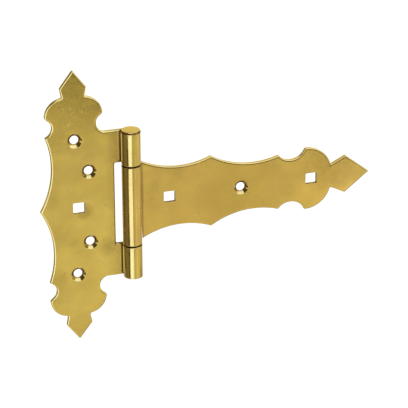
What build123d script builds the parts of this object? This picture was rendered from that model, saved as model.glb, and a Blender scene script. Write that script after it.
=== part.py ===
"""Decorative T-shaped gate hinge: a frame leaf, a strap leaf and the pin they turn on.

Millimetres. The pin's axis is Z, with the origin halfway up it. The strap runs out
along +X, and the front of the hinge, with its countersinks and knuckles, faces -Y.
Both leaves are stamped from sheet, mirrored about the plane Z = 0, and their eyes are
rolled towards the front, so the backs of the leaves and of the eyes lie in one plane.
"""
import os
from math import asin, degrees, sqrt

from build123d import *

# Sheet and its edges
plate = 2.3  # thickness of both leaves
front_round = 1.2  # front rim of the blanks, which the eyes turn inwards
back_round = 0.5  # back rim of the blanks, which is the outer rim of the knuckles
cusp_round = 0.9  # outward corners of the outlines, seen from the front
lobe_cusp_round = 2.0  # of the softer ones between the frame leaf's lobes and coves
tip_round = 0.6  # points of the spearheads and of the diamond
neck_round = 0.6  # inward corners of the outlines

# Pin and knuckles
pin_d = 7.0
pin_clearance = 0.05  # on the radius, between the pin and the eyes
knuckle_stack = 92.6  # the three knuckles together
middle_knuckle = 50.1  # the strap's knuckle
knuckle_gap = 0.7  # at each end of the middle knuckle
seam_gap = 0.3  # between the end of the rolled sheet and the leaf
seam_round = 0.5  # outer corner of that end
pin_head_lip = 1.9  # how far the head spreads over the top knuckle, beyond the pin
pin_head_t = 0.9
pin_head_round = 0.3
peened_lip = 1.1  # how far the peened end spreads under the bottom knuckle
peened_t = 0.5

# Frame leaf outline, upper half
frame_reach = 54.1  # from the pin's axis to the cusp of the waist
window_clearance = 3.25  # from the middle knuckle to the far side of its window
window_round = 1.0
head_axis = 32.6  # from the pin's axis to the spearheads' centre line
head_half = 17.3  # from that centre line to the lobes' cusps
waist_drop = 0.4  # from the top of the knuckles down to the waist's upper cusp
waist_sag = 5.1  # how far each waist arc curves in
cove_rise = 11.1  # from the top of the knuckles up to the cusp between cove and lobe
cove_sag = 4.1
lobe_r = 12.0
spear_neck_half = 6.8
spear_half = 7.9
shoulder_rise = 28.7  # from the top of the knuckles up to the spearhead's widest point
spear_rise = 39.1  # from the top of the knuckles up to its tip, before that is rounded

# Strap outline, upper half
strap_reach = 150.4  # from the pin's axis to the tip, before that is rounded
strap_root = 0.85  # from the side of the knuckle to where the first arc starts
first_cusp = (49.9, 22.6)  # from the pin's axis, and from the centre line
first_sag = 5.0
second_cusp = (92.2, 17.5)
second_sag = 4.8
third_cusp = (109.1, 19.9)
third_sag = 5.0
strap_lobe_r = 16.3
diamond_neck = (125.6, 7.4)
diamond_shoulder = (135.0, 12.1)
shoulder_round = 1.2  # shoulders of the spearheads and of the diamond

# Fixing holes, all centred on the leaves' own points
screw_hole_d = 5.3
countersink_d = 9.2
countersink_angle = 90
frame_outer_screw = (-32.4, 42.5)
frame_inner_screw = (-24.4, 22.5)
strap_screw_x = 68.7
bolt_square = 7.0  # for the square neck of a coach bolt
bolt_square_round = 0.5
punch_round = 0.3  # front rim of the square holes
frame_bolt_x = -31.0
strap_bolt_xs = (24.1, 113.1)

# Sizes that follow
pin_r = pin_d / 2
eye_r = pin_r + pin_clearance
knuckle_r = eye_r + plate
front_y = knuckle_r - plate  # front faces of both leaves
stack_half = knuckle_stack / 2
middle_half = middle_knuckle / 2
window_half = middle_half + knuckle_gap
window_reach = knuckle_r + window_clearance
back_plane = Plane.XZ.offset(-knuckle_r)  # both planes' normals point to the front
front_plane = Plane.XZ.offset(-front_y)
tiny = 0.001


def round_corners(face, corners, radius):
    """Rounds the corners of a face that lie at the given points, and their mirror images."""
    points = [Vector(x, side * z) for x, z in corners for side in (1, -1)]
    chosen = [v for v in face.vertices() if any((v.center() - p).length < tiny for p in points)]
    return fillet(chosen, radius)


def mirrored_face(upper_half):
    """The face inside a half outline that starts and ends on the centre line."""
    outline = Curve() + upper_half
    return make_face(outline + mirror(outline, about=Plane.XZ))


def frame_outline():
    """The frame leaf from the front: waist, head with spear, lug, and the knuckle window."""
    left, right = -head_axis - head_half, -head_axis + head_half
    waist, waist_cusp = (-frame_reach, 0), (left, stack_half - waist_drop)
    cove_top = stack_half + cove_rise
    left_cusp, right_cusp = (left, cove_top), (right, cove_top)
    # Each lobe is an arc that leaves its cusp upright and ends at the neck.
    lobe_run = lobe_r - head_half + spear_neck_half
    neck_z = cove_top + sqrt(lobe_r**2 - lobe_run**2)
    left_neck = (-head_axis - spear_neck_half, neck_z)
    right_neck = (-head_axis + spear_neck_half, neck_z)
    shoulder_z = stack_half + shoulder_rise
    left_shoulder = (-head_axis - spear_half, shoulder_z)
    right_shoulder = (-head_axis + spear_half, shoulder_z)
    tip = (-head_axis, stack_half + spear_rise)
    lug = (right, stack_half)
    face = mirrored_face(
        [
            SagittaArc(waist, waist_cusp, -waist_sag),
            SagittaArc(waist_cusp, left_cusp, -cove_sag),
            RadiusArc(left_cusp, left_neck, lobe_r),
            Polyline(left_neck, left_shoulder, tip, right_shoulder, right_neck),
            RadiusArc(right_neck, right_cusp, lobe_r),
            SagittaArc(right_cusp, lug, -cove_sag),
            Polyline(lug, (0, stack_half), (0, 0)),
        ]
    )
    face = round_corners(face, [left_neck, right_neck], neck_round)
    face = round_corners(face, [waist, waist_cusp, lug], cusp_round)
    face = round_corners(face, [left_cusp, right_cusp], lobe_cusp_round)
    face = round_corners(face, [left_shoulder, right_shoulder], shoulder_round)
    face = round_corners(face, [tip], tip_round)
    window = Rectangle(2 * window_reach, 2 * window_half)
    return face - fillet(window.vertices(), window_round)


def strap_outline():
    """The strap leaf from the front: three hollow arcs, a lobe and a diamond."""
    root, tip = (knuckle_r + strap_root, middle_half), (strap_reach, 0)
    face = mirrored_face(
        [
            Polyline((0, 0), (0, middle_half), root),
            SagittaArc(root, first_cusp, -first_sag),
            SagittaArc(first_cusp, second_cusp, -second_sag),
            SagittaArc(second_cusp, third_cusp, -third_sag),
            RadiusArc(third_cusp, diamond_neck, strap_lobe_r),
            Polyline(diamond_neck, diamond_shoulder, tip),
        ]
    )
    face = round_corners(face, [diamond_neck], neck_round)
    face = round_corners(face, [first_cusp, second_cusp, third_cusp], cusp_round)
    face = round_corners(face, [diamond_shoulder], shoulder_round)
    return round_corners(face, [tip], tip_round)


def eye(bottom, top):
    """A rolled eye whose sheet comes from -X at the back and ends short of its own leaf."""
    seam_angle = degrees(asin((front_y - seam_gap) / knuckle_r))
    sweep = -(270 + seam_angle)  # clockwise from the back of the eye to the seam
    outside = CenterArc((0, 0), knuckle_r, 90, sweep)
    inside = CenterArc((0, 0), eye_r, 90, sweep)
    ends = [Line(outside @ 0, inside @ 0), Line(outside @ 1, inside @ 1)]
    section = make_face(Curve() + [outside, inside, *ends])
    end_corner = section.vertices().sort_by_distance(outside @ 1)[0]
    section = fillet(end_corner, seam_round)
    return extrude(Plane.XY.offset(bottom) * section, top - bottom)


def rims(blank, y):
    """The rims of a rolled blank that lie in its front or back face, and run on round its eyes."""
    in_face = [e for e in blank.edges() if all(abs((e @ t).Y - y) < tiny for t in (0, 0.5, 1))]
    return [e for e in in_face if abs((e @ 0.5).X) > tiny]  # without the lines where the eyes begin


def finished_blank(outline, eyes):
    """Sheet of the given outline with its eyes rolled and its rims rounded."""
    blank = extrude(back_plane * outline, plate) + eyes
    blank = fillet(rims(blank, front_y), front_round)
    return fillet(rims(blank, knuckle_r), back_round)


def screw_hole(x, z):
    """Countersunk hole, cut in from the front face."""
    tool = CounterSinkHole(screw_hole_d / 2, countersink_d / 2, 2 * plate, countersink_angle)
    return front_plane * Pos(x, z) * tool


def with_square_hole(leaf, x):
    """Punches a square hole on the leaf's centre line and rounds its front rim."""
    square = fillet(Rectangle(bolt_square, bolt_square).vertices(), bolt_square_round)
    leaf -= extrude(front_plane * Pos(x, 0) * square, plate, both=True)
    middle = Vector(x, front_y, 0)
    rim = [e for e in rims(leaf, front_y) if (e.center() - middle).length < bolt_square]
    return fillet(rim, punch_round)


def frame_leaf():
    upper_eye = eye(window_half, stack_half)
    leaf = finished_blank(frame_outline(), [upper_eye, mirror(upper_eye, about=Plane.XY)])
    for x, z in (frame_outer_screw, frame_inner_screw):
        leaf -= [screw_hole(x, z), screw_hole(x, -z)]
    return with_square_hole(leaf, frame_bolt_x)


def strap_leaf():
    leaf = finished_blank(strap_outline(), [mirror(eye(-middle_half, middle_half), about=Plane.YZ)])
    leaf -= screw_hole(strap_screw_x, 0)
    for x in strap_bolt_xs:
        leaf = with_square_hole(leaf, x)
    return leaf


def hinge_pin():
    """Headed pin: the low head sits on the top knuckle, the far end is peened over."""
    head_r, peened_r = pin_r + pin_head_lip, pin_r + peened_lip
    head_top, end_bottom = stack_half + pin_head_t, -stack_half - peened_t
    rim = [(head_r, head_top), (head_r, stack_half)]
    shank = [(pin_r, stack_half), (pin_r, -stack_half), (peened_r, -stack_half)]
    half = [
        Polyline((0, end_bottom), (0, head_top), *rim, *shank),
        TangentArc((0, end_bottom), shank[-1], tangent=(1, 0)),
    ]
    section = make_face(Curve() + half)
    corners = [v for v in section.vertices() if abs(v.X - head_r) < tiny]
    return revolve(Plane.XZ * fillet(corners, pin_head_round), Axis.Z)


os.makedirs("parts", exist_ok=True)
for name, make in (("frame_leaf", frame_leaf), ("strap_leaf", strap_leaf), ("hinge_pin", hinge_pin)):
    export_step(make(), f"parts/{name}.step")
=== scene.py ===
"""Looks of the decorative gate hinge: its two brass leaves and its pin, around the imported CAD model.

The shapes are drawn in millimetres and brought to metres at the end. The pin's axis is Z,
the strap runs out along +X, and the front of the hinge faces -Y.
"""
from math import asin, ceil, copysign, cos, hypot, pi, radians, sin, sqrt, tan, tau

import bmesh
import bpy
from bmesh.types import BMEdge, BMFace, BMVert
from mathutils import Matrix, Vector
from mathutils.geometry import intersect_sphere_sphere_2d


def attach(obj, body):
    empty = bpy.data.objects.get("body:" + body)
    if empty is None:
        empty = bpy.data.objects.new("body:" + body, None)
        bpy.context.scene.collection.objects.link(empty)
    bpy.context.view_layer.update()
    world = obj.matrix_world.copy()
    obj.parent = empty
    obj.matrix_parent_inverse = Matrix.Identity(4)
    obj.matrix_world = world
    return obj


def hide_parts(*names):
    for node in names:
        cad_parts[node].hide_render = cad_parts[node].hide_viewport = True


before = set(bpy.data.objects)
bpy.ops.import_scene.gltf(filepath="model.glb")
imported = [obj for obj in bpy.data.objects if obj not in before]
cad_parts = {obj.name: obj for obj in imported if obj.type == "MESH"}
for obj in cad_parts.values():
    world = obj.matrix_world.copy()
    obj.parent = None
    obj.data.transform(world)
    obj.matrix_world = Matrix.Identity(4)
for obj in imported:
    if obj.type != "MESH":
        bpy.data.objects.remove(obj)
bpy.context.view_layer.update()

MM = 0.001
TINY = 0.001  # what lies closer than this is in the same place
WELD = 0.0005  # vertices of a finished mesh that are closer than this become one
Z_AXIS = (0, 0, 1)
TO_FRONT = (0, -1, 0)
ARC_STEP = 1.2  # length of a facet on the leaves' arcs
END_STEP = 2.6  # of the facet at each end of an arc, which the rims of a corner take up
END_TURN = 0.37  # the most that such a facet turns, in radians
SHORT_ARC_STEPS = 6  # facets of an arc that is too short for end facets
TURNED_STEPS = 72  # facets round the pin and the countersinks
ROLL_STEPS = 64  # facets round an eye
CORNER_TURN, SHARP_TURN = 14, 85  # degrees from which a turn of an outline is a corner, and a sharp one
CREASE_TURN = 32  # degrees from which an edge looks crisp
ROUND = {"affect": "EDGES", "profile": 0.5, "material": -1, "clamp_overlap": False}

# Sheet and its edges
plate = 2.3
frame_rim = (1.35, 0.75)  # width and depth: the polishing wheel has drawn the front rims out wide and low
strap_rim = (1.3, 0.6)
back_round = 0.5
corner_round = 0.45  # how far the outlines' corners are softened to each side
sharp_corner_round = 0.8  # the same for points, necks and window corners
lobe_cusp_round = 2.0  # radius of the softer corners between lobes and coves

# Pin and knuckles
pin_r = 3.5
eye_r = 3.55
knuckle_r = eye_r + plate
front_y = knuckle_r - plate
stack_half = 46.3
middle_half = 25.05
window_half = 25.75
seam_gap = 0.3
seam_round = 0.5
roll_angle = 1.5 * pi + asin((front_y - seam_gap) / knuckle_r)
pin_head_lip = 1.9
pin_head_t = 0.9
pin_head_round = 0.3
pin_head_crown = ((1, 0.08), (0.6, 0.02), (0, 0))  # share of the head's radius, and drop from its top
peened_lip = 1.1
peened_t = 0.5
peened_dome = ((0, 1), (0.4, 0.92), (0.75, 0.56))  # shares of the peened end's radius and of its height

# Frame leaf outline, upper half
frame_reach = 54.1
window_reach = knuckle_r + 3.25
head_axis = -32.6
head_half = 17.3
waist_cusp_z = stack_half - 0.4
waist_sag = 5.1
cove_top = stack_half + 11.1
cove_sag = 4.1
lobe_r = 12.0
neck_half = 6.8
spear_half = 7.9
shoulder_z = stack_half + 28.7
spear_tip_z = stack_half + 39.1

# Strap outline, upper half
strap_root = knuckle_r + 0.85
strap_cusps = ((49.9, 22.6), (92.2, 17.5), (109.1, 19.9))
strap_sags = (5.0, 4.8, 5.0)  # of the arcs that end at these cusps
strap_lobe_r = 16.3
diamond_neck = (125.6, 7.4)
diamond_shoulder = (135.0, 12.1)
strap_reach = 150.4

# Holes
screw_hole_r = 2.65
countersink_r = 4.6
countersink_flare = ((-0.22, -0.22), (-0.1, -0.08), (0.1, 0.02))  # worn mouth: past the radius, past the face
frame_screws = [(x, side * z) for x, z in ((-32.4, 42.5), (-24.4, 22.5)) for side in (1, -1)]
strap_screw_x = 68.7
bolt_square = 7.0
bolt_square_round = 0.5
mouth_round = 0.3
mouth_proud = 0.05  # how far the rounding starts ahead of its depth, so that it ends in front of the face
mouth_turn, mouth_steps = radians(80), 5
frame_bolt_x = -31.0
strap_bolt_xs = (24.1, 113.1)
cutter_proud = 1.0


def only(kind, geom):
    return [part for part in geom if isinstance(part, kind)]


def right_of(a, b):
    """The length of the run from a to b, and the direction to its right, seen from the front."""
    run = Vector(b) - Vector(a)
    return run.length, Vector((run.y, -run.x)).normalized()


def sag_of(a, b, radius):
    """How far an arc of that radius swings out between a and b."""
    run, _ = right_of(a, b)
    return radius - sqrt(radius**2 - run**2 / 4)


def line_to(bm, vert, x, z):
    end = bmesh.ops.extrude_vert_indiv(bm, verts=[vert])["verts"][0]
    end.co = (x, 0, z)
    return end


def arc_of(a, b, hollow):
    """Centre and radius of the arc from a to b that swings to the right of its run by hollow, or to the left
    where that is negative."""
    run, right = right_of(a, b)
    radius = (run**2 / 4 + hollow**2) / (2 * abs(hollow))
    return (Vector(a) + Vector(b)) / 2 + right * (hollow - copysign(radius, hollow)), radius


def arc_to(bm, vert, x, z, hollow):
    """Draws such an arc from vert to (x, z)."""
    start = (vert.co.x, vert.co.z)
    centre, radius = arc_of(start, (x, z), hollow)
    turn = 2 * asin(right_of(start, (x, z))[0] / 2 / radius)
    end_turn = min(END_STEP / radius, END_TURN)
    if turn > 4 * end_turn:
        middle_steps = ceil(radius * turn / ARC_STEP) - 4
        parts = ((end_turn, 1), (turn - 2 * end_turn, middle_steps), (end_turn, 1))
    else:
        parts = ((turn, SHORT_ARC_STEPS),)
    for angle, steps in parts:
        spun = bmesh.ops.spin(
            bm, geom=[vert], cent=(centre.x, 0, centre.y), axis=TO_FRONT, dvec=(0, 0, 0),
            angle=copysign(angle, hollow), steps=steps,
            use_merge=False, use_normal_flip=False, use_duplicate=False,
        )
        vert = only(BMVert, spun["geom_last"])[0]
    return vert


def arcs_to(bm, vert, arcs):
    """Draws arcs in a row, given by start, end and radius, which is negative where one swings out."""
    for start, end, radius in arcs:
        vert = arc_to(bm, vert, *end, copysign(sag_of(start, end, abs(radius)), radius))
    return vert


def soft_cusp(cusp, cove, lobe):
    """Where the soft corner beside a cusp leaves the cove and the lobe that meet there, given as arcs."""
    (cove_at, cove_r), (lobe_at, bulge_r) = cove, lobe
    past_cove, within_lobe = cove_r + lobe_cusp_round, bulge_r - lobe_cusp_round
    centres = intersect_sphere_sphere_2d(cove_at, past_cove, lobe_at, within_lobe)
    centre = min(centres, key=lambda point: (point - Vector(cusp)).length)
    on_cove = cove_at + (centre - cove_at) * cove_r / past_cove
    on_lobe = lobe_at + (centre - lobe_at) * bulge_r / within_lobe
    return tuple(on_cove), tuple(on_lobe)


def blank(bm, rim_width, rim_depth):
    """Sheet cut to the half outline in bm and its mirror image, with its front and back rims rounded."""
    bmesh.ops.mirror(bm, geom=bm.verts[:] + bm.edges[:], merge_dist=TINY, axis="Z")
    bmesh.ops.remove_doubles(bm, verts=bm.verts, dist=TINY)
    # Only the strap's outline is still open, where its eye begins.
    ends = [v for v in bm.verts if len(v.link_edges) == 1]
    if ends:
        bm.edges.new(ends)
    front = bmesh.ops.contextual_create(bm, geom=bm.edges)["faces"][0]
    bmesh.ops.translate(bm, verts=bm.verts, vec=(0, front_y, 0))
    back = bmesh.ops.extrude_face_region(bm, geom=[front], use_keep_orig=True)["geom"]
    bmesh.ops.translate(bm, verts=only(BMVert, back), vec=(0, plate, 0))
    bmesh.ops.recalc_face_normals(bm, faces=bm.faces)
    # The sheet is stretched while its front rim is rounded, so that the rim comes out wider than deep.
    stretch = rim_width / rim_depth
    rim = [e for e in bm.edges if in_plane(e, front_y) and not at_roll(e)]
    bmesh.ops.scale(bm, verts=bm.verts, vec=(1, stretch, 1))
    bmesh.ops.bevel(bm, geom=rim, offset=rim_width, segments=8, **ROUND)
    bmesh.ops.scale(bm, verts=bm.verts, vec=(1, 1 / stretch, 1))
    rim = [e for e in bm.edges if in_plane(e, knuckle_r) and not at_roll(e)]
    bmesh.ops.bevel(bm, geom=rim, offset=back_round, segments=4, **ROUND)
    across = [e for e in bm.edges if abs(e.verts[0].co.y - e.verts[1].co.y) > TINY and not at_roll(e)]
    sharp, other = (SHARP_TURN, 180, sharp_corner_round), (CORNER_TURN, SHARP_TURN, corner_round)
    for least, greatest, offset in (sharp, other):
        turns = [(e, e.calc_face_angle(0)) for e in across if e.is_valid]
        corners = [e for e, turn in turns if radians(least) < turn <= radians(greatest)]
        bmesh.ops.bevel(bm, geom=corners, offset=offset, segments=4, **ROUND)


def in_plane(edge, y):
    return all(abs(v.co.y - y) < TINY for v in edge.verts)


def at_roll(edge):
    """Whether an edge lies where the flat sheet ends and its eye begins."""
    return all(abs(v.co.x) < TINY for v in edge.verts)


def roll_eyes(bm, side):
    """Rolls the sheet that ends on the centre plane forwards round the pin, clockwise for the leaf at -X."""
    ends = [f for f in bm.faces if all(abs(v.co.x) < TINY for v in f.verts)]
    rolled = bmesh.ops.spin(
        bm, geom=ends, cent=(0, 0, 0), axis=Z_AXIS, dvec=(0, 0, 0), angle=side * roll_angle, steps=ROLL_STEPS,
        use_merge=False, use_normal_flip=False, use_duplicate=False,
    )
    bmesh.ops.delete(bm, geom=ends, context="FACES_ONLY")
    corner = [
        e for f in only(BMFace, rolled["geom_last"]) for e in f.edges
        if all(abs(hypot(v.co.x, v.co.y) - knuckle_r) < 10 * TINY for v in e.verts)
    ]
    bmesh.ops.bevel(bm, geom=corner, offset=seam_round, segments=4, **ROUND)


def mesh_of(bm, name):
    """The finished mesh, with its doubles merged and its faces turned outwards."""
    bmesh.ops.remove_doubles(bm, verts=bm.verts, dist=WELD)
    bmesh.ops.recalc_face_normals(bm, faces=bm.faces)
    for f in bm.faces:
        f.smooth = True
    mesh = bpy.data.meshes.new(name)
    bm.to_mesh(mesh)
    bm.free()
    return mesh


def in_scene(name, data):
    """A new object in the scene, from a mesh or a camera."""
    made = bpy.data.objects.new(name, data)
    bpy.context.scene.collection.objects.link(made)
    return made


def turned(profile):
    """A solid turned on Z from a profile of (radius, height) points."""
    bm = bmesh.new()
    verts = [bm.verts.new((r, 0, h)) for r, h in profile]
    edges = [bm.edges.new(pair) for pair in zip(verts, verts[1:])]
    bmesh.ops.spin(
        bm, geom=verts + edges, cent=(0, 0, 0), axis=Z_AXIS, dvec=(0, 0, 0), angle=tau, steps=TURNED_STEPS,
        use_merge=True, use_normal_flip=False, use_duplicate=False,
    )
    bmesh.ops.remove_doubles(bm, verts=bm.verts, dist=WELD)
    return bm


def screw_cutter(x, z):
    """A countersink bit, turned with its heights running out of the front face, and laid along Y."""
    flare = [(countersink_r + wider, height) for wider, height in countersink_flare]
    top_r = flare[-1][0]
    shank = [(0, -2 * plate), (screw_hole_r, -2 * plate), (screw_hole_r, screw_hole_r - countersink_r)]
    bm = turned([*shank, *flare, (top_r, cutter_proud), (0, cutter_proud)])
    bmesh.ops.rotate(bm, verts=bm.verts, cent=(0, 0, 0), matrix=Matrix.Rotation(pi / 2, 3, "X"))
    bmesh.ops.translate(bm, verts=bm.verts, vec=(x, front_y, z))
    return bm


def square_mouth(turn):
    """Half the width of a square hole's rounded mouth and its height, after that much of its rounding."""
    return bolt_square / 2 + mouth_round * (1 - cos(turn)), mouth_round * sin(turn)


def square_cutter(x):
    """A square punch, and the rounding that it leaves round its mouth."""
    bm = bmesh.new()
    bmesh.ops.create_cube(bm, size=1)
    bmesh.ops.scale(bm, verts=bm.verts, vec=(bolt_square, 4 * plate, bolt_square))
    upright = [e for e in bm.edges if abs(e.verts[0].co.y - e.verts[1].co.y) > plate]
    bmesh.ops.bevel(bm, geom=upright, offset=bolt_square_round, segments=4, **ROUND)
    bmesh.ops.bisect_plane(
        bm, geom=bm.verts[:] + bm.edges[:] + bm.faces[:], plane_co=(0, -mouth_proud, 0), plane_no=TO_FRONT,
        clear_outer=True,
    )
    mouth = [e for e in bm.edges if len(e.link_faces) == 1]
    half, height = square_mouth(0)
    for step in range(1, mouth_steps + 1):
        next_half, next_height = square_mouth(mouth_turn * step / mouth_steps)
        lip = bmesh.ops.extrude_edge_only(bm, edges=mouth)["geom"]
        bmesh.ops.scale(bm, verts=only(BMVert, lip), vec=(next_half / half, 1, next_half / half))
        bmesh.ops.translate(bm, verts=only(BMVert, lip), vec=(0, height - next_height, 0))
        mouth, half, height = only(BMEdge, lip), next_half, next_height
    lip = bmesh.ops.extrude_edge_only(bm, edges=mouth)["geom"]
    bmesh.ops.translate(bm, verts=only(BMVert, lip), vec=(0, -cutter_proud, 0))
    bmesh.ops.holes_fill(bm, edges=[e for e in bm.edges if len(e.link_faces) == 1], sides=0)
    bmesh.ops.translate(bm, verts=bm.verts, vec=(x, front_y + mouth_round, 0))
    return bm


def leaf(name, bm, cutters):
    """The finished leaf as an object: blank and eyes from bm, with its holes cut."""
    piece = in_scene(name, mesh_of(bm, name))
    tools = [in_scene("cutter", mesh_of(cutter, "cutter")) for cutter in cutters]
    for tool in tools:
        cut = piece.modifiers.new("cut", "BOOLEAN")
        cut.object, cut.operation, cut.solver = tool, "DIFFERENCE", "EXACT"
    bpy.context.view_layer.update()
    finished = bpy.data.meshes.new_from_object(piece.evaluated_get(bpy.context.evaluated_depsgraph_get()))
    piece.modifiers.clear()
    piece.data = finished
    for tool in tools:
        bpy.data.meshes.remove(tool.data)
    return piece


def frame_leaf():
    """Waist, cove, lobe and spear, the other lobe and cove, and lug, then the knuckle window."""
    left, right = head_axis - head_half, head_axis + head_half
    neck_z = cove_top + sqrt(lobe_r**2 - (lobe_r - head_half + neck_half) ** 2)
    waist_cusp, left_cusp, left_neck = (left, waist_cusp_z), (left, cove_top), (head_axis - neck_half, neck_z)
    right_neck, right_cusp, lug = (head_axis + neck_half, neck_z), (right, cove_top), (right, stack_half)
    bulge = -sag_of(left_cusp, left_neck, lobe_r)
    # Each arc is a centre and a radius.
    left_cove, left_lobe = arc_of(waist_cusp, left_cusp, cove_sag), arc_of(left_cusp, left_neck, bulge)
    right_lobe, right_cove = arc_of(right_neck, right_cusp, bulge), arc_of(right_cusp, lug, cove_sag)
    cove_end, lobe_start = soft_cusp(left_cusp, left_cove, left_lobe)
    cove_start, lobe_end = soft_cusp(right_cusp, right_cove, right_lobe)
    bm = bmesh.new()
    v = bm.verts.new((-frame_reach, 0, 0))
    v = arc_to(bm, v, *waist_cusp, waist_sag)
    v = arcs_to(bm, v, (
        (waist_cusp, cove_end, left_cove[1]),
        (cove_end, lobe_start, -lobe_cusp_round),
        (lobe_start, left_neck, -left_lobe[1]),
    ))
    shoulders = [(head_axis + side * spear_half, shoulder_z) for side in (-1, 1)]
    for point in (shoulders[0], (head_axis, spear_tip_z), shoulders[1], right_neck):
        v = line_to(bm, v, *point)
    v = arcs_to(bm, v, (
        (right_neck, lobe_end, -right_lobe[1]),
        (lobe_end, cove_start, -lobe_cusp_round),
        (cove_start, lug, right_cove[1]),
    ))
    for point in ((0, stack_half), (0, window_half), (-window_reach, window_half), (-window_reach, 0)):
        v = line_to(bm, v, *point)
    blank(bm, *frame_rim)
    roll_eyes(bm, -1)
    cutters = [screw_cutter(x, z) for x, z in frame_screws]
    return leaf("frame_leaf_brass", bm, [*cutters, square_cutter(frame_bolt_x)])


def strap_leaf():
    """Three hollow arcs, a lobe and the diamond."""
    bm = bmesh.new()
    v = bm.verts.new((0, 0, middle_half))
    v = line_to(bm, v, strap_root, middle_half)
    for cusp, sag in zip(strap_cusps, strap_sags):
        v = arc_to(bm, v, *cusp, sag)
    v = arcs_to(bm, v, [(strap_cusps[-1], diamond_neck, -strap_lobe_r)])
    for point in (diamond_shoulder, (strap_reach, 0)):
        v = line_to(bm, v, *point)
    blank(bm, *strap_rim)
    roll_eyes(bm, 1)
    squares = [square_cutter(x) for x in strap_bolt_xs]
    return leaf("strap_leaf_brass", bm, [screw_cutter(strap_screw_x, 0), *squares])


def hinge_pin():
    """Turned pin: its low head lies on the top knuckle, and its other end is peened over under the bottom."""
    head_r, head_top, peened_r = pin_r + pin_head_lip, stack_half + pin_head_t, pin_r + peened_lip
    dome = [(share * peened_r, -stack_half - height * peened_t) for share, height in peened_dome]
    shank = [(peened_r, -stack_half), (pin_r, -stack_half), (pin_r, stack_half), (head_r, stack_half)]
    crown = [(share * head_r, head_top - drop) for share, drop in pin_head_crown]
    bm = turned([*dome, *shank, *crown])
    rims = [e for e in bm.edges if all(hypot(v.co.x, v.co.y) > head_r - TINY for v in e.verts)]
    rims = [e for e in rims if abs(e.verts[0].co.z - e.verts[1].co.z) < TINY]
    bmesh.ops.bevel(bm, geom=rims, offset=pin_head_round, segments=3, **ROUND)
    return in_scene("hinge_pin_brass", mesh_of(bm, "hinge_pin_brass"))


def linear(colour):
    """A colour written as sRGB hex, in the linear values that a shader takes."""
    shares = [int(colour[i : i + 2], 16) / 255 for i in (1, 3, 5)]
    return [c / 12.92 if c <= 0.04045 else ((c + 0.055) / 1.055) ** 2.4 for c in shares] + [1]


def add(tree, kind, inputs=None, **settings):
    """Adds a node with its settings, and fills its inputs with values or links."""
    made = tree.nodes.new(kind)
    for name, value in settings.items():
        setattr(made, name, value)
    for name, value in (inputs or {}).items():
        if isinstance(value, bpy.types.NodeSocket):
            tree.links.new(value, made.inputs[name])
        else:
            made.inputs[name].default_value = value
    return made


def new_material(name):
    """An empty material, and its node tree."""
    material = bpy.data.materials.new(name)
    material.use_nodes = True
    material.node_tree.nodes.clear()
    return material, material.node_tree


def per_metre(mm):
    return 1 / (mm * MM)


def near(tree, place, keep, centre, reach, fade, strength=1.0):
    """A mask of that strength within reach of a point, a line or a plane through centre, falling to 0 over
    fade. keep weighs the axes, and an axis of weight 0 doesn't count."""
    kept = add(tree, "ShaderNodeVectorMath", {0: place, 1: keep}, operation="MULTIPLY")
    middle = Vector(centre) * Vector(keep) * MM
    away = add(tree, "ShaderNodeVectorMath", {0: kept.outputs["Vector"], 1: middle}, operation="DISTANCE")
    return add(
        tree, "ShaderNodeMapRange",
        {"Value": away.outputs["Value"], "From Min": reach * MM, "From Max": (reach + fade) * MM,
         "To Min": strength, "To Max": 0.0},
    ).outputs["Result"]


def most(tree, masks):
    """The highest of several masks."""
    high = masks[0]
    for mask in masks[1:]:
        high = add(tree, "ShaderNodeMath", {0: high, 1: mask}, operation="MAXIMUM").outputs["Value"]
    return high


def on_eyes(tree, place):
    """1 on the eyes and the pin, 0 on the flat of a leaf."""
    return near(tree, place, (1, 1, 0), (0, 0, 0), knuckle_r + 0.05, 0.1)


# Reach and fade of the painted shade, brown like residue, on the walls of the holes. In a countersink it
# stays on the upper side.
countersink_painted_shade, countersink_painted_shade_rise = (3.6, 0.8), 1.1
square_painted_shade = (5.0, 0.4)
window_painted_shade, window_painted_shade_x = (2.5, 0.4), -8


def leaf_shade_and_residue(tree, place, crease, knuckle_ends, holes, dark_patches):
    """Painted shade on a leaf, brown like residue of polish and grease: in the crease beside its eyes, at
    their ends where the knuckles meet, on the walls of its holes, and in darker patches on the flat. Each is
    given as its place, reach, fade and strength, as far as it has them."""
    crease_x, *crease_spread = crease
    eyes = on_eyes(tree, place)
    depth = add(tree, "ShaderNodeSeparateXYZ", {"Vector": place}).outputs["Y"]
    below_front = add(
        tree, "ShaderNodeMapRange",
        {"Value": depth, "From Min": (front_y + 0.2) * MM, "From Max": (front_y + 1.1) * MM},
    )
    on_walls = add(
        tree, "ShaderNodeMapRange",
        {"Value": depth, "From Min": (knuckle_r - 0.2) * MM, "From Max": (knuckle_r - 0.05) * MM,
         "To Min": below_front.outputs["Result"], "To Max": 0.0},
    ).outputs["Result"]
    # Painted shade in the crease, at the ends of the eyes and on the walls of the holes, and darker patches
    # on the flat
    shaded_places = [near(tree, place, (1, 2, 0), (crease_x, front_y - 0.1, 0), *crease_spread)]
    shaded_places += [near(tree, place, (0, 0, 1), (0, 0, z), reach, 0.2, eyes) for z, reach in knuckle_ends]
    shaded_places += [near(tree, place, (1, 0, 1), (x, 0, z), *spread, on_walls) for x, z, *spread in holes]
    shaded_places += [near(tree, place, (1, 0, 1), (x, 0, z), *spread) for x, z, *spread in dark_patches]
    return most(tree, shaded_places)


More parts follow.
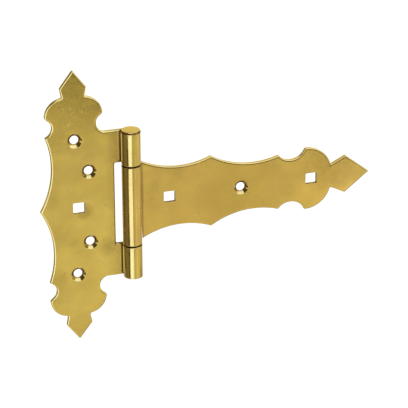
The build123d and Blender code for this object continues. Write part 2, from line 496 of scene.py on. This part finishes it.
def frame_shade_and_residue(tree, place):
    """The frame leaf also has a painted shade on its flat, which darkens over a few millimetres towards its
    eyes.
    """
    crease = (-4.9, 0.5, 1.4)
    ends = [(stack_half - 0.15, 0.35), (window_half - 0.25, 0.3), (0.25 - window_half, 0.3)]
    holes = [(x, z + countersink_painted_shade_rise, *countersink_painted_shade) for x, z in frame_screws]
    holes += [(window_painted_shade_x, side * window_half, *window_painted_shade) for side in (1, -1)]
    holes += [(frame_bolt_x, 0, *square_painted_shade)]
    # Darker patches on the flat, each as its place, reach, fade and strength
    dark_patches = [
        (-27.5, -2.5, 2.5, 4, 0.3), (-12.5, -27, 2, 6.5, 0.3), (-34.5, -21.5, 0.5, 4, 0.16),
        (-46.5, 8, 1, 7, 0.22), (-43.5, -43, 0.5, 6, 0.18), (-32, -77, 3, 10, 0.14),
    ]
    off_eyes = add(
        tree, "ShaderNodeMapRange", {"Value": on_eyes(tree, place), "To Min": 0.27, "To Max": 0.0},
    ).outputs["Result"]
    # Painted shade: the flat beside the eyes darkens towards them
    shade_by_eyes = near(tree, place, (1, 0, 0), (-knuckle_r, 0, 0), 0.5, 8.5, off_eyes)
    return most(tree, [leaf_shade_and_residue(tree, place, crease, ends, holes, dark_patches), shade_by_eyes])


def strap_shade_and_residue(tree, place):
    """The strap's painted shade in its crease is wider and fainter, and there is one darker patch, on its
    lobe.
    """
    crease = (4.9, 2.4, 0.9, 0.6)
    ends = [(side * (middle_half + 0.15), 0.3) for side in (1, -1)]
    holes = [(x, 0, *square_painted_shade) for x in strap_bolt_xs]
    holes += [(strap_screw_x, countersink_painted_shade_rise, *countersink_painted_shade)]
    return leaf_shade_and_residue(tree, place, crease, ends, holes, [(125, 4, 4, 14, 0.2)])


def pin_shade_and_residue(tree, place):
    """Painted shade on the pin: all of the shank between its head and its peened end, which shows in the gaps
    between the knuckles.
    """
    return near(tree, place, (0, 0, 1), (0, 0, 0), stack_half - 0.1, 0.1)


def brass(name, buffed_along, dark, light, shade_and_residue):
    """Brass sheet, stamped, buffed bright and lacquered clear. The metal mirrors its surroundings in deep
    gold, softened by fine buffing lines and smudges, and the thin lacquer adds a paler, sharper mirror image.
    Buffing by hand leaves shallow waves, and rolling leaves streaks along the eyes. There are a few pits and
    short dull scuffs, thickest on the upper head. Brown residue without lacquer is painted in as shade,
    darkest in the creases, the joints between the knuckles, the holes and on the pin's shank, and in a few
    darker patches."""
    material, tree = new_material(name)
    place = add(tree, "ShaderNodeTexCoord").outputs["Object"]
    waves = add(tree, "ShaderNodeTexNoise", {"Vector": place, "Scale": per_metre(13), "Detail": 2.0})
    peel = add(tree, "ShaderNodeTexNoise", {"Vector": place, "Scale": per_metre(2.2), "Detail": 2.0})
    # Buffing lines are a few hundredths of a millimetre wide; here they are 0.5 mm, to show.
    along_lines = Vector((per_metre(0.5),) * 3)
    along_lines["xyz".index(buffed_along)] = per_metre(14)
    drawn_out = add(tree, "ShaderNodeMapping", {"Vector": place, "Scale": along_lines}).outputs["Vector"]
    lines = add(tree, "ShaderNodeTexNoise", {"Vector": drawn_out, "Scale": 1.0, "Detail": 2.0})

    # Pits are 4.5 mm apart, and only some are there.
    pits = add(tree, "ShaderNodeTexVoronoi", {"Vector": place, "Scale": per_metre(4.5)})
    chosen = add(tree, "ShaderNodeSeparateColor", {"Color": pits.outputs["Color"]})
    some = add(tree, "ShaderNodeMath", {0: chosen.outputs["Red"], 1: 0.84}, operation="GREATER_THAN")
    pitted = add(
        tree, "ShaderNodeMapRange",
        {"Value": pits.outputs["Distance"], "From Min": 0.04, "From Max": 0.11,
         "To Min": some.outputs["Value"], "To Max": 0.0},
    ).outputs["Result"]

    # Scuffs are thin crooked lines, broken up, where the waves are high and on the upper head.
    crooked = {"Vector": place, "Scale": per_metre(5), "Detail": 3.0, "Distortion": 1.2}
    scuffs = add(tree, "ShaderNodeTexNoise", crooked)
    thin = add(tree, "ShaderNodeMath", {0: scuffs.outputs["Fac"], 1: 0.5, 2: 0.015}, operation="COMPARE")
    on_waves = add(
        tree, "ShaderNodeMapRange", {"Value": waves.outputs["Fac"], "From Min": 0.57, "From Max": 0.63},
    ).outputs["Result"]
    upper_head = near(tree, place, (1, 1, 1), (-33, front_y, 60), 5, 9)
    broken = add(
        tree, "ShaderNodeMapRange",
        {"Value": peel.outputs["Fac"], "From Min": 0.48, "From Max": 0.54,
         "To Max": most(tree, [on_waves, upper_head])},
    )
    scuffed = add(
        tree, "ShaderNodeMath", {0: thin.outputs["Value"], 1: broken.outputs["Result"]}, operation="MULTIPLY",
    ).outputs["Value"]

    patchy = add(
        tree, "ShaderNodeMapRange",
        {"Value": peel.outputs["Fac"], "From Min": 0.35, "From Max": 0.5, "To Min": 0.7, "To Max": 1.0},
    )
    patchy_shade_and_residue = add(
        tree, "ShaderNodeMath", {0: shade_and_residue(tree, place), 1: patchy.outputs["Result"]}, operation="MULTIPLY",
    ).outputs["Value"]

    # Colour, in patches of 22 mm
    patches = add(tree, "ShaderNodeTexNoise", {"Vector": place, "Scale": per_metre(22), "Detail": 3.0})
    gold = add(tree, "ShaderNodeValToRGB", {"Fac": patches.outputs["Fac"]})
    for stop, position, colour in zip(gold.color_ramp.elements, (0.36, 0.64), (dark, light)):
        stop.position, stop.color = position, linear(colour)
    in_pits = {"Factor": pitted, 6: gold.outputs["Color"], 7: linear("#8a6a2a")}
    with_pits = add(tree, "ShaderNodeMix", in_pits, data_type="RGBA")
    # Painted shade: dark brown, where the shade-and-residue mask is high
    under_shade_and_residue = {"Factor": patchy_shade_and_residue, 6: with_pits.outputs[2], 7: linear("#5c3a02")}
    with_shade_and_residue = add(tree, "ShaderNodeMix", under_shade_and_residue, data_type="RGBA")

    # Roughness: smudges of 8 mm and the buffing lines, and duller scuffs and the residue that is painted in
    # as shade
    blurred = {"Vector": place, "Scale": per_metre(8), "Detail": 2.0, "Distortion": 0.6}
    smudges = add(tree, "ShaderNodeTexNoise", blurred)
    smudged = add(
        tree, "ShaderNodeMapRange",
        {"Value": smudges.outputs["Fac"], "From Min": 0.35, "From Max": 0.65, "To Min": 0.12, "To Max": 0.21},
    )
    in_lines = add(
        tree, "ShaderNodeMapRange",
        {"Value": lines.outputs["Fac"], "From Min": 0.3, "From Max": 0.7, "To Min": -0.02, "To Max": 0.02},
    )
    both = {0: smudged.outputs["Result"], 1: in_lines.outputs["Result"]}
    buffed = add(tree, "ShaderNodeMath", both, operation="ADD")
    dull = add(
        tree, "ShaderNodeMapRange",
        {"Value": most(tree, [scuffed, patchy_shade_and_residue]), "To Min": buffed.outputs["Value"], "To Max": 0.42},
    )

    # Relief, from the broadest to the finest, each with its depth in mm
    along_eye = Vector((per_metre(1.4), per_metre(1.4), per_metre(45)))
    rolled_out = add(tree, "ShaderNodeMapping", {"Vector": place, "Scale": along_eye}).outputs["Vector"]
    streaks = add(tree, "ShaderNodeTexNoise", {"Vector": rolled_out, "Scale": 1.0, "Detail": 1.0})
    eye_streaks = add(
        tree, "ShaderNodeMath", {0: streaks.outputs["Fac"], 1: on_eyes(tree, place)}, operation="MULTIPLY",
    )
    relief = {"Strength": 1.0}
    for height, depth in (
        (waves.outputs["Fac"], 0.10), (eye_streaks.outputs["Value"], 0.05), (peel.outputs["Fac"], 0.005),
        (lines.outputs["Fac"], 0.001),
    ):
        bump = add(tree, "ShaderNodeBump", {"Height": height, "Distance": depth * MM, **relief})
        relief["Normal"] = bump.outputs["Normal"]
    marks = {"Height": most(tree, [pitted, scuffed]), "Distance": 0.01 * MM, **relief}
    dug = add(tree, "ShaderNodeBump", marks, invert=True)

    lacquer = add(tree, "ShaderNodeMath", {0: 1.0, 1: patchy_shade_and_residue}, operation="SUBTRACT")
    shader = add(
        tree, "ShaderNodeBsdfPrincipled",
        {"Base Color": with_shade_and_residue.outputs[2], "Metallic": 1.0, "Roughness": dull.outputs["Result"],
         "Normal": dug.outputs["Normal"], "Coat Weight": lacquer.outputs["Value"], "Coat Roughness": 0.05},
    )
    add(tree, "ShaderNodeOutputMaterial", {"Surface": shader.outputs["BSDF"]})
    return material


for piece, body, node, finish in (
    (frame_leaf(), "frame", "frame_leaf", ("x", "#b89a31", "#c4a63b", frame_shade_and_residue)),
    (strap_leaf(), "strap", "strap_leaf", ("x", "#b4932c", "#c09d35", strap_shade_and_residue)),
    (hinge_pin(), "frame", "hinge_pin", ("z", "#b4932c", "#c09d35", pin_shade_and_residue)),
):
    piece.data.transform(Matrix.Scale(MM, 4))
    piece.data.materials.append(brass("buffed_brass_" + node, *finish))
    piece.data.set_sharp_from_angle(angle=radians(CREASE_TURN))
    weighted = piece.modifiers.new("flat faces stay flat", "WEIGHTED_NORMAL")
    weighted.keep_sharp = True
    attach(piece, body)
    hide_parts(node)


def level_square(name, half, z):
    """The mesh of a square that lies level."""
    bm = bmesh.new()
    bmesh.ops.create_grid(bm, x_segments=1, y_segments=1, size=half)
    bmesh.ops.translate(bm, verts=bm.verts, vec=(0, 0, z))
    mesh = bpy.data.meshes.new(name)
    bm.to_mesh(mesh)
    bm.free()
    return mesh


def board(name, azimuths, elevations, level, top_level=None, colour="#ffffff", distance=0.85):
    """A board of the studio, seen only in the metal's reflections. It spans these angles round the hinge, and
    its light may change from its lower edge to its upper one."""
    az, el = (radians(sum(pair) / 2) for pair in (azimuths, elevations))
    wide, tall = (2 * distance * tan(radians(b - a) / 2) for a, b in (azimuths, elevations))
    out = Vector((sin(az) * cos(el), -cos(az) * cos(el), sin(el)))
    material, tree = new_material(name)
    across = add(tree, "ShaderNodeSeparateXYZ", {"Vector": add(tree, "ShaderNodeTexCoord").outputs["Object"]})
    grade = add(
        tree, "ShaderNodeMapRange",
        {"Value": across.outputs["Y"], "From Min": -0.5, "From Max": 0.5, "To Min": level,
         "To Max": level if top_level is None else top_level},
    )
    light = add(tree, "ShaderNodeEmission", {"Color": linear(colour), "Strength": grade.outputs["Result"]})
    add(tree, "ShaderNodeOutputMaterial", {"Surface": light.outputs["Emission"]})
    panel = in_scene(name, level_square(name, 0.5, 0))
    panel.data.materials.append(material)
    facing = out.to_track_quat("Z", "Y").to_matrix().to_4x4()
    size = Matrix.Diagonal((wide * cos(el), tall, 1, 1))
    panel.matrix_world = Matrix.Translation(out * distance) @ facing @ size
    panel.visible_camera = False
    panel.visible_diffuse = False
    panel.visible_shadow = False


# Azimuths run from the front to the right, elevations upwards. Low boards stand closer, above the floor.
COOL = "#a6b5ff"
board("soft_left", (-46, -13), (-36, 18), 5.3, colour=COOL)
board("soft_front", (-13, -4), (-36, -14), 4.6, colour=COOL)
board("thin_shade", (-3, 8), (-36, -19), 0.65)
board("shade_front", (-13, 8), (-14, -6), 0.3)
board("bright_front", (8, 18), (-34, -21), 1.12)
board("fade_front", (8, 18), (-21, -14), 1.12, 0.3)
board("plain_front", (18, 21.5), (-36, -20), 1.04)
board("dim_front", (21.5, 25.5), (-36, -20), 0.94)
board("shade_above_front", (8, 18), (-14, 8), 0.3)
board("bright_right", (25.5, 30), (-36, -20), 1.14)
board("line_right", (30, 38), (-36, -20), 1.5)
board("plain_right", (38, 52), (-36, -20), 1.1)
board("fade_front_right", (18, 52), (-20, -13), 0.95, 0.5)
board("shade_above_strap", (18, 34), (-13, 12), 0.3)
board("shade_front_right", (34, 40), (-13, 8), 0.3)
board("black_left", (-61, -46), (-36, 18), 0.16, colour="#ffcf80")
board("dark_left", (-108, -61), (-36, -5), 0.3)
board("glint_left", (-80, -61), (-5, 8), 1.7)
board("dark_left_above", (-108, -61), (8, 18), 0.15)
board("dim_back_left", (-126, -108), (-36, 18), 0.38)
board("dark_above_left", (-130, -22), (18, 66), 0.1)
board("brown_back_left", (-170, -126), (-36, 50), 0.65)
board("soft_top", (-20, 85), (10, 75), 4.6, colour=COOL, distance=1.1)
board("shade_right", (92, 114), (-36, 50), 0.7, colour="#ffe2a0")
board("shade_below_right", (70, 160), (-70, -32), 0.25, colour="#ffd889", distance=0.5)
board("dark_below", (-140, -70), (-85, -62), 0.2, distance=0.5)
board("shade_back_top", (112, 200), (42, 80), 0.4)
board("warm_behind", (140, 184), (5, 42), 1.11, colour="#fff4a5")

world = bpy.data.worlds.new("white studio")
bpy.context.scene.world = world
world.use_nodes = True
world.node_tree.nodes["Background"].inputs["Color"].default_value = (1, 1, 1, 1)
world.node_tree.nodes["Background"].inputs["Strength"].default_value = 1.0


def matt_white_paint():
    """Matt white paint, rolled on: it spreads the light evenly, and what looks at it or mirrors it sees it
    lifted to white."""
    material, tree = new_material("matt_white_paint")
    paint = add(tree, "ShaderNodeBsdfDiffuse", {"Color": linear("#e8e8e8")})
    rays = add(tree, "ShaderNodeLightPath").outputs
    seen = most(tree, [rays["Is Camera Ray"], rays["Is Glossy Ray"], rays["Is Transmission Ray"]])
    lift = add(tree, "ShaderNodeMath", {0: seen, 1: 0.3}, operation="MULTIPLY")
    white = add(tree, "ShaderNodeEmission", {"Strength": lift.outputs["Value"]})
    lifted = add(tree, "ShaderNodeAddShader", {0: paint.outputs["BSDF"], 1: white.outputs["Emission"]})
    add(tree, "ShaderNodeOutputMaterial", {"Surface": lifted.outputs["Shader"]})
    return material


# The floor, in metres
floor_half, floor_z = 6, -0.6
floor = in_scene("floor", level_square("floor", floor_half, floor_z))
floor.data.materials.append(matt_white_paint())

# The photograph's camera: about 1.2 m away, to the left of the hinge and above it.
stand = (-0.288407, -1.046695, 0.480359)
yaw, pitch, roll = 0.30769, 0.41684, -0.00299
focal_px, photo_px = 2027.25, 408
lens = bpy.data.cameras.new("camera")
lens.sensor_width = 36
lens.lens = focal_px / photo_px * lens.sensor_width
camera = in_scene("camera", lens)
aim = Matrix.Rotation(-yaw, 4, "Z") @ Matrix.Rotation(pi / 2 - pitch, 4, "X") @ Matrix.Rotation(roll, 4, "Z")
camera.matrix_world = Matrix.Translation(stand) @ aim
bpy.context.scene.camera = camera
bpy.context.scene.view_settings.view_transform = "Standard"
